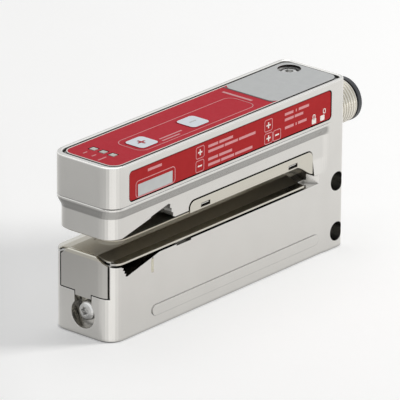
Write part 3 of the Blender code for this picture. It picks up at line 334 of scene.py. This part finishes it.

# %% [markdown]
# The guides are rolled stainless sheet with a faint grain along the sheet. It is a little yellower
# than the plated body. In the mouth the two sheets mirror each other's shaded sides. A darker and
# rougher tone is painted there for that, and a greyer one on the folded front plate. These tones are
# matched and not measured. The screws are bright zinc plate.

# %% Guides and screws
# Painted shade: the faces in the mouth get a darker tone for the shaded sides that they mirror.
MOUTH_FACES = ((-0.0450, -0.0099, 0.0214), (0.0300, 0.0099, 0.0272))
MOUTH_SHADE = (0.47, 0.435, 0.36)
MOUTH_GLOSS = 0.38
# Painted shade: the folded front plate gets a greyer tone, a painted reflection darker than the sheet.
FRONT_PLATE = ((-0.0480, -0.0112, 0.0050), (-0.0435, 0.0112, 0.0215))
PLATE_SHADE = (0.50, 0.487, 0.462)
# The guides get the same painted edge highlight and painted shade.
rolled = finish("rolled_stainless", (0.60, 0.575, 0.505), (0.56, 0.535, 0.47), (0.14, 0.20), 0.00030, 0.03,
                metal=1.0, stretch=(0.12, 1.0, 1.0), edge=0.00008, painted_light=(1.30, 0.8, 0.75, 0.0008))
tree = rolled.node_tree
shader = tree.nodes["Principled BSDF"]
paint = shader.inputs["Base Color"].links[0].from_socket
in_mouth = inside_box(tree, *MOUTH_FACES)
paint = blend(tree, inside_box(tree, *FRONT_PLATE), paint, PLATE_SHADE)
tree.links.new(blend(tree, in_mouth, paint, MOUTH_SHADE), shader.inputs["Base Color"])
rougher = node(tree, "ShaderNodeMath", operation="MAXIMUM")
tree.links.new(shader.inputs["Roughness"].links[0].from_socket, rougher.inputs[0])
tree.links.new(spread(tree, in_mouth, 0.0, MOUTH_GLOSS, 0.0, 1.0), rougher.inputs[1])
tree.links.new(rougher.outputs["Value"], shader.inputs["Roughness"])
dress(rolled, "lower_guide_plate", "upper_guide_plate")
# The screws get the painted edge highlight and painted shade as well.
zinc = finish("bright_zinc", (0.64, 0.635, 0.62), (0.56, 0.555, 0.54), (0.12, 0.20), 0.0003, 0.08,
              metal=1.0, edge=0.0001, painted_light=(1.30, 0.6, 0.30, 0.0006))
dress(zinc, "guide_screw", "cover_screw")
brass = finish("plated_brass", (0.76, 0.73, 0.66), (0.66, 0.63, 0.56), (0.20, 0.30), 0.0003, 0.06,
               metal=1.0, edge=0.00006)
dress(brass, "connector_sleeve")

# %% [markdown]
# The control film is polyester, printed from behind, so its surface is an even fine matt. The side
# label is the same film on a slightly different red. The film's cut edge is painted near black, as a
# painted shade for the gaps round the film's edges.

# %% Films
FILM_EDGE_SHADE = (0.02, 0.015, 0.015)
film_red = finish("red_film", (0.50, 0.024, 0.040), (0.48, 0.022, 0.036), (0.42, 0.50), 0.00010, 0.03,
                  shine=0.05)
label_red = finish("red_label", (0.37, 0.016, 0.018), (0.35, 0.014, 0.016), (0.42, 0.50), 0.00010, 0.03,
                   shine=0.10)
tree = film_red.node_tree
shader = tree.nodes["Principled BSDF"]
# Faces of the film that don't look up are painted near black, a painted shade.
facing = node(tree, "ShaderNodeNewGeometry")
split = node(tree, "ShaderNodeSeparateXYZ")
tree.links.new(facing.outputs["True Normal"], split.inputs[0])
upward = spread(tree, split.outputs["Z"], 0.0, 1.0, 0.4, 0.6)
red = shader.inputs["Base Color"].links[0].from_socket
tree.links.new(blend(tree, upward, FILM_EDGE_SHADE, red), shader.inputs["Base Color"])
dress(film_red, "control_foil")
dress(label_red, "side_label")

# %% Plastics, rubber and inner parts
black = finish("black_plastic", (0.022, 0.024, 0.028), (0.032, 0.034, 0.038), (0.34, 0.48), 0.0002, 0.10,
               edge=0.0001)
dress(black, "connector_insert", "key_switch_1", "key_switch_2")
# The lid's grey is painted lighter than its plastic, a painted light that lifts the shade in its sunk
# window.
lid = finish("moulded_lid", (0.420, 0.420, 0.415), (0.390, 0.390, 0.385), (0.45, 0.60), 0.0003, 0.12)
dress(lid, "top_cover")
milky = finish("milky_window", (0.56, 0.55, 0.50), (0.50, 0.49, 0.45), (0.22, 0.34), 0.0003, 0.04)
dress(milky, "light_guide_1", "light_guide_2", "light_guide_3")
rubber = finish("soft_rubber", (0.018, 0.018, 0.019), (0.026, 0.026, 0.027), (0.60, 0.80), 0.0002, 0.20)
dress(rubber, "receiver_holder", "emitter_holder", "connector_seal")
can = finish("drawn_can", (0.40, 0.40, 0.40), (0.34, 0.34, 0.34), (0.30, 0.45), 0.0003, 0.08, metal=1.0)
dress(can, "receiver_transducer", "emitter_transducer")
board = finish("board_laminate", (0.02, 0.13, 0.05), (0.03, 0.17, 0.07), (0.30, 0.42), 0.0004, 0.15)
dress(board, "circuit_board")
lamp_body = finish("lamp_body", (0.70, 0.62, 0.36), (0.62, 0.55, 0.32), (0.20, 0.30), 0.0003, 0.05)
dress(lamp_body, "indicator_led_1", "indicator_led_2", "indicator_led_3")
sheath = finish("lead_sheath", (0.03, 0.03, 0.03), (0.04, 0.04, 0.04), (0.45, 0.60), 0.0003, 0.15)
dress(sheath, "emitter_lead")
flex = finish("flex_film", (0.30, 0.13, 0.03), (0.36, 0.17, 0.05), (0.22, 0.34), 0.0003, 0.05)
dress(flex, "connector_flex")
gold = finish("gilt_contact", (0.83, 0.62, 0.25), (0.74, 0.54, 0.20), (0.18, 0.30), 0.0002, 0.05, metal=1.0)
dress(gold, *[f"contact_pin_{i}" for i in range(1, 6)])

# %% [markdown]
# The floor is a sheet of graduated studio paper: white round the sensor and grey further to the
# left, where the front face looks for its reflection. A little of the grey shows at the picture's
# left edge. Rays that come straight
# from the camera, or by a mirror or a window, also see a little light from the paper, so it reads
# as a white sweep and still keeps the soft shadow.

# %% Floor finish
GLOW = 0.25
PAPER_WHITE = (0.82, 0.82, 0.82)
PAPER_GREY = (0.56, 0.56, 0.56)
FADE_FROM = 0.045
FADE_TO = 0.100

pale = finish("pale_floor", PAPER_WHITE, PAPER_WHITE, (0.75, 0.90), 0.004, 0.02)
tree = pale.node_tree
place = node(tree, "ShaderNodeTexCoord")
across = node(tree, "ShaderNodeVectorMath", operation="DOT_PRODUCT")
across.inputs[1].default_value = (-math.sqrt(0.5), math.sqrt(0.5), 0.0)
tree.links.new(place.outputs["Object"], across.inputs[0])
fade = spread(tree, across.outputs["Value"], 0.0, 1.0, FADE_FROM, FADE_TO)
shader = tree.nodes["Principled BSDF"]
tree.links.new(blend(tree, fade, PAPER_WHITE, PAPER_GREY), shader.inputs["Base Color"])
shader.inputs["Emission Color"].default_value = (1.0, 1.0, 1.0, 1.0)
tree.links.new(spread(tree, seen_rays(tree), 0.0, GLOW, 0.0, 1.0), shader.inputs["Emission Strength"])
floor.data.materials.append(pale)

# %% [markdown]
# Prints are thin raised layers of ink, 0.03 mm thick. Each is a plane added at its size and place,
# with its corners rounded by a vertex bevel, and then extruded. A line round a field is the same
# plate with an inset, whose middle is deleted. The film's prints lie flat and the label's stand
# upright, so the helper takes the side that carries them.

# %% Print helpers
INK = 0.00003
MIDDLE = 0.0458
FILM_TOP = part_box("light_guide_1")[1].z
LABEL_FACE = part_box("side_label")[0].y
print("film top at", round(FILM_TOP, 5), "label face at", round(LABEL_FACE, 5))


def deselect():
    if bpy.context.object and bpy.context.object.mode == "EDIT":
        bpy.ops.object.mode_set(mode="OBJECT")
    bpy.ops.object.select_all(action="DESELECT")


def printed(name, low, high, corner=0.0, side="top", line=0.0, level=0.0):
    """One printed field, or with a line width only its outline. Corners are (x from the front, y or z)."""
    deselect()
    x = (low[0] + high[0]) / 2 - MIDDLE
    across = (low[1] + high[1]) / 2
    place = (x, across, FILM_TOP + level) if side == "top" else (x, LABEL_FACE - level, across)
    turn = (0.0, 0.0, 0.0) if side == "top" else (math.pi / 2, 0.0, 0.0)
    bpy.ops.mesh.primitive_plane_add(size=1.0, location=place, rotation=turn)
    piece = bpy.context.object
    piece.name = name
    piece.scale = (high[0] - low[0], high[1] - low[1], 1.0)
    bpy.ops.object.transform_apply(location=True, rotation=True, scale=True)
    bpy.ops.object.mode_set(mode="EDIT")
    bpy.ops.mesh.select_all(action="SELECT")
    if corner:
        bpy.ops.mesh.bevel(offset=corner, offset_type="OFFSET", segments=5, affect="VERTICES")
        bpy.ops.mesh.select_all(action="SELECT")
    if line:
        bpy.ops.mesh.inset(thickness=line, depth=0.0)
        bpy.ops.mesh.delete(type="FACE")
        bpy.ops.mesh.select_all(action="SELECT")
    lift = (0.0, 0.0, INK) if side == "top" else (0.0, -INK, 0.0)
    bpy.ops.mesh.extrude_region_move(TRANSFORM_OT_translate={"value": lift})
    bpy.ops.mesh.select_all(action="SELECT")
    bpy.ops.mesh.normals_make_consistent(inside=False)
    bpy.ops.object.mode_set(mode="OBJECT")
    return piece


def joined(name, pieces):
    """Several prints as one piece."""
    deselect()
    for piece in pieces:
        piece.select_set(True)
    bpy.context.view_layer.objects.active = pieces[0]
    if len(pieces) > 1:
        bpy.ops.object.join()
    pieces[0].name = name
    return pieces[0]


def placed(piece, material):
    """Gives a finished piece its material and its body."""
    piece.data.materials.clear()
    piece.data.materials.append(material)
    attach(piece, "root")
    print(piece.name, "faces:", len(piece.data.polygons))
    return piece


# %% [markdown]
# On the film, the front field is red and the rear field is grey. A pale line runs along the film's
# edge, and a thin one frames the two light key fields.

# %% Film prints
ink_pale = finish("pale_ink", (0.80, 0.74, 0.70), (0.76, 0.70, 0.66), (0.34, 0.42), 0.0001, 0.04)
ink_pink = finish("pink_ink", (0.62, 0.26, 0.27), (0.58, 0.24, 0.25), (0.34, 0.42), 0.0001, 0.04)
ink_white = finish("white_ink", (0.74, 0.79, 0.85), (0.71, 0.76, 0.82), (0.34, 0.42), 0.0001, 0.04)
ink_grey = finish("grey_ink", (0.50, 0.51, 0.51), (0.47, 0.48, 0.48), (0.30, 0.40), 0.0001, 0.04)
ink_dark = finish("dark_ink", (0.05, 0.03, 0.03), (0.04, 0.03, 0.03), (0.34, 0.42), 0.0001, 0.04)

FILM_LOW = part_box("control_foil")[0]
FILM_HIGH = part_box("control_foil")[1]
film_x = (FILM_LOW.x + MIDDLE, FILM_HIGH.x + MIDDLE)
film_y = FILM_HIGH.y
EDGE_LINE = 0.00032
THIN_LINE = 0.00022
placed(printed("film_edge_line", (film_x[0], -film_y), (film_x[1], film_y), 0.0030, line=EDGE_LINE),
       ink_pale)
rear = printed("film_rear_field", (0.0646, -film_y), (film_x[1], film_y), 0.0029, level=0.00001)
deselect()
CAP_AT = (0.0865 - MIDDLE, 0.0046)
CAP_WINDOW = 0.0031
bpy.ops.mesh.primitive_cylinder_add(vertices=48, radius=CAP_WINDOW, depth=0.002,
                                    location=(*CAP_AT, FILM_TOP))
punch = bpy.context.object
deselect()
rear.select_set(True)
bpy.context.view_layer.objects.active = rear
hole = rear.modifiers.new("window", "BOOLEAN")
hole.operation = "DIFFERENCE"
hole.solver = "EXACT"
hole.object = punch
bpy.ops.object.modifier_apply(modifier=hole.name)
bpy.data.objects.remove(punch)
placed(rear, ink_grey)
joint_y = film_y - 0.0004
placed(printed("film_field_joint", (0.0642, -joint_y), (0.0647, joint_y), 0.0, level=0.00002),
       ink_dark)
placed(printed("key_frame_line", (0.0154, -0.0067), (0.0602, 0.0028), 0.0026, line=THIN_LINE),
       ink_pink)

# %% Key fields and lamp ticks
PAD_LEVEL = 0.0001
pads = [printed("key_pad", (0.0170, -0.00545), (0.0235, 0.0009), 0.0012, level=PAD_LEVEL),
        printed("key_pad", (0.0367, -0.00545), (0.0432, 0.0009), 0.0012, level=PAD_LEVEL)]
placed(joined("key_pads", pads), ink_white)
plus = [printed("plus", (0.0190, -0.0024), (0.0215, -0.0019), level=0.00014),
        printed("plus", (0.0200, -0.0034), (0.0205, -0.0009), level=0.00015)]
placed(joined("key_plus_mark", plus), film_red)
placed(printed("key_minus_mark", (0.0388, -0.0024), (0.0412, -0.0020), level=0.00014), ink_grey)
ticks = [printed("tick", (0.0049, 0.0035), (0.0064, 0.0039)),
         printed("tick", (0.0048, 0.0005), (0.0063, 0.0009)),
         printed("tick", (0.0037, -0.0025), (0.0068, -0.0021)),
         printed("tick", (0.0250, -0.0043), (0.0335, -0.0038)),
         printed("tick", (0.0246, -0.0056), (0.0313, -0.0051)),
         printed("tick", (0.0613, -0.0035), (0.0622, 0.0063))]
placed(joined("film_ticks", ticks), ink_pink)

# %% [markdown]
# The side label has a framed grey window at the front, small framed boxes with plus and minus
# marks, plain bars for rows of print, and at the rear end two blocks with a small ring each, the
# common signs of a closed and an open lock. Crossing bars lie at slightly different levels, so no
# two faces share a place.

# %% Label fields
placed(printed("label_window", (0.0095, 0.03735), (0.0226, 0.04055), side="near"), ink_grey)
placed(printed("label_window_frame", (0.0086, 0.03705), (0.0237, 0.0416), 0.0011, "near", THIN_LINE),
       ink_pink)
BOXES = (
    (0.0316, 0.0349, 0.0407, 0.0440, "plus"),
    (0.0315, 0.0348, 0.0371, 0.0403, "minus"),
    (0.0585, 0.0617, 0.0404, 0.0437, "plus"),
    (0.0585, 0.0618, 0.0370, 0.0400, "plus"),
    (0.0620, 0.0651, 0.0370, 0.0400, "minus"),
)
frames = []
marks = []
for x0, x1, z0, z1, mark in BOXES:
    frames.append(printed("box", (x0, z0), (x1, z1), 0.0006, "near", 0.0002))
    x = (x0 + x1) / 2
    z = (z0 + z1) / 2
    marks.append(printed("bar", (x - 0.0008, z - 0.0002), (x + 0.0008, z + 0.0002), side="near"))
    if mark == "plus":
        marks.append(printed("bar", (x - 0.0002, z - 0.0008), (x + 0.0002, z + 0.0008), side="near",
                             level=0.00001))
placed(joined("label_box_frames", frames), ink_pink)
placed(joined("label_box_marks", marks), ink_pale)

# %% Label bars
# Each row has its height and then the starts and ends of its bars.
BAR_TALL = 0.0007
ROWS = (
    (0.0430, (0.0364, 0.0402, 0.0407, 0.0460)),
    (0.0416, (0.0364, 0.0424, 0.0428, 0.0480, 0.0484, 0.0549)),
    (0.0395, (0.0364, 0.0402, 0.0407, 0.0457)),
    (0.0380, (0.0364, 0.0411, 0.0415, 0.0465, 0.0469, 0.0537)),
    (0.0431, (0.0666, 0.0700, 0.0710, 0.0714, 0.0722, 0.0763)),
    (0.0416, (0.0666, 0.0702, 0.0706, 0.0740)),
    (0.0394, (0.0667, 0.0702, 0.0710, 0.0714, 0.0720, 0.0754)),
    (0.04335, (0.0132, 0.0185)),
)
bars = []
for z, stops in ROWS:
    for x0, x1 in zip(stops[::2], stops[1::2]):
        bars.append(printed("bar", (x0, z - BAR_TALL / 2), (x1, z + BAR_TALL / 2), side="near"))
placed(joined("label_bars", bars), ink_pink)

# %% Label shapes
RING_LINE = 0.00025
shapes = [printed("shape", (0.0776, 0.0373), (0.0793, 0.0387), 0.0002, "near"),
          printed("shape", (0.0779, 0.0385), (0.0790, 0.0399), 0.0005, "near", RING_LINE),
          printed("shape", (0.0810, 0.0373), (0.0827, 0.0387), 0.0002, "near"),
          printed("shape", (0.0821, 0.0390), (0.0832, 0.0404), 0.0005, "near", RING_LINE)]
placed(joined("label_shapes", shapes), ink_pale)

# %% [markdown]
# The connector's thread is cut as on a lathe. A triangle, the tip of the tool, is carried round the
# axis and forward by one pitch a turn with a Screw modifier, and the groove that it sweeps is taken
# out of the plain sleeve. This gives a true helix that runs out at both ends.

# %% Thread groove
AXIS_Z = (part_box("connector_sleeve")[0].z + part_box("connector_sleeve")[1].z) / 2
THREAD_START = 0.0922 - MIDDLE
THREAD_END = 0.1022 - MIDDLE
THREAD_RADIUS = 0.00595
ROOT_RADIUS = 0.00545
BORE_RADIUS = 0.0049
SHANK_RADIUS = 0.0055
PITCH = 0.0010
TURNS = 12
STEPS_A_TURN = 32


def apply_all(piece):
    deselect()
    piece.select_set(True)
    bpy.context.view_layer.objects.active = piece
    bpy.ops.object.transform_apply(location=True, rotation=True, scale=True)


def boolean(piece, tool, operation):
    deselect()
    piece.select_set(True)
    bpy.context.view_layer.objects.active = piece
    step = piece.modifiers.new("cut", "BOOLEAN")
    step.operation = operation
    step.solver = "EXACT"
    step.object = tool
    bpy.ops.object.modifier_apply(modifier=step.name)
    bpy.data.objects.remove(tool)


def along_x(radius, start, end, sides):
    deselect()
    bpy.ops.mesh.primitive_cylinder_add(vertices=sides, radius=radius, depth=end - start,
                                        location=((start + end) / 2, 0.0, AXIS_Z),
                                        rotation=(0.0, math.pi / 2, 0.0))
    piece = bpy.context.object
    apply_all(piece)
    return piece


deselect()
TOOL = 0.00048
bpy.ops.mesh.primitive_circle_add(vertices=3, radius=TOOL, fill_type="NGON",
                                  location=(THREAD_START - PITCH, 0.0, ROOT_RADIUS + TOOL),
                                  rotation=(math.pi / 2, math.pi, 0.0))
groove = bpy.context.object
apply_all(groove)
sweep = groove.modifiers.new("helix", "SCREW")
sweep.axis = "X"
sweep.screw_offset = PITCH
sweep.iterations = TURNS
sweep.steps = STEPS_A_TURN
sweep.render_steps = STEPS_A_TURN
sweep.use_smooth_shade = False
bpy.ops.object.modifier_apply(modifier=sweep.name)
groove.location.z = AXIS_Z
apply_all(groove)
bpy.ops.object.mode_set(mode="EDIT")
bpy.ops.mesh.select_all(action="SELECT")
bpy.ops.mesh.remove_doubles(threshold=0.000001)
bpy.ops.mesh.fill_holes(sides=3)
bpy.ops.mesh.select_all(action="SELECT")
bpy.ops.mesh.normals_make_consistent(inside=False)
bpy.ops.object.mode_set(mode="OBJECT")
print("groove faces:", len(groove.data.polygons))

# %% Threaded sleeve
CHAMFER = 0.00035
threaded = along_x(THREAD_RADIUS, THREAD_START, THREAD_END, 64)
threaded.name = "threaded_sleeve"
bpy.context.tool_settings.mesh_select_mode = (False, False, True)
bpy.ops.object.mode_set(mode="EDIT")
bpy.ops.mesh.select_all(action="DESELECT")
bpy.ops.object.mode_set(mode="OBJECT")
for face in threaded.data.polygons:
    face.select = abs(face.normal.x) > 0.9
bpy.ops.object.mode_set(mode="EDIT")
bpy.ops.mesh.bevel(offset=CHAMFER, segments=1, affect="EDGES")
bpy.ops.object.mode_set(mode="OBJECT")
bpy.context.tool_settings.mesh_select_mode = (True, False, False)
boolean(threaded, groove, "DIFFERENCE")
sleeve_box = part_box("connector_sleeve")
boolean(threaded, along_x(SHANK_RADIUS, sleeve_box[0].x, THREAD_START + CHAMFER, 64), "UNION")
boolean(threaded, along_x(BORE_RADIUS, sleeve_box[0].x - PITCH, THREAD_END + PITCH, 64), "DIFFERENCE")
deselect()
threaded.select_set(True)
bpy.context.view_layer.objects.active = threaded
bpy.ops.object.shade_smooth_by_angle(angle=math.radians(25.0))
placed(threaded, brass)
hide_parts("connector_sleeve")
print("sleeve in mm:", [round(v * 1000, 2) for v in threaded.bound_box[0]],
      [round(v * 1000, 2) for v in threaded.bound_box[6]])

# %% [markdown]
# The sound leaves the lower arm through a round window in the guide. A thin steel foil closes it,
# with a shallow bead round its edge that keeps the foil stiff. The foil fills the hole to within a
# few hundredths of a millimetre, because a foil that is smaller hangs loose and shows dark gaps.

# %% Sound window
deselect()
WINDOW_X = 0.01127 - MIDDLE
GUIDE_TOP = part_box("lower_guide_plate")[1].z
FOIL = 0.00012
FOIL_SINK = 0.00010
FOIL_RADIUS = 0.00416
BEAD_STEP = 0.0003
BEAD_RISE = 0.00006
bpy.ops.mesh.primitive_circle_add(vertices=64, radius=FOIL_RADIUS, fill_type="NGON",
                                  location=(WINDOW_X, 0.0, GUIDE_TOP - FOIL_SINK - FOIL))
window = bpy.context.object
window.name = "sound_window"
apply_all(window)
bpy.ops.object.mode_set(mode="EDIT")
bpy.ops.mesh.select_all(action="SELECT")
bpy.ops.mesh.inset(thickness=BEAD_STEP, depth=0.0)
bpy.ops.mesh.inset(thickness=BEAD_STEP, depth=BEAD_RISE)
bpy.ops.mesh.inset(thickness=BEAD_STEP, depth=-BEAD_RISE)
bpy.ops.object.mode_set(mode="OBJECT")
sheet = window.modifiers.new("sheet", "SOLIDIFY")
sheet.thickness = FOIL
sheet.offset = -1.0
bpy.ops.object.modifier_apply(modifier=sheet.name)
bpy.ops.object.shade_smooth_by_angle(angle=math.radians(35.0))
placed(window, rolled)
print("window z in mm:", [round(window.bound_box[i][2] * 1000, 3) for i in (0, 1)])

# %% [markdown]
# A pale strip of five thin steps lies over the witness groove on the lower arm's near side. Each
# step is a print set a hair to the left or right of the last, which makes the strip's rough edge.
# The arm's side stands a little further in than the label, so the level counts from the label.

# %% Casting mark
ARM_SIDE = 0.0103
STEP_COUNT = 5
STEP_PITCH = 0.00074
STEP_TALL = 0.00068
STEP_SHIFT = 0.00006
tally = finish("worn_tally", (0.66, 0.64, 0.52), (0.50, 0.48, 0.38), (0.25, 0.40), 0.00025, 0.2, metal=1.0)
SIDE_LEVEL = LABEL_FACE + ARM_SIDE
steps = []
for i in range(STEP_COUNT):
    low = 0.0153 + i * STEP_PITCH
    shift = STEP_SHIFT * (-1) ** i
    steps.append(printed("tally_step", (0.0148 + shift, low), (0.0157 + shift, low + STEP_TALL),
                         0.00008, "near", level=SIDE_LEVEL))
placed(joined("tally_strip", steps), tally)
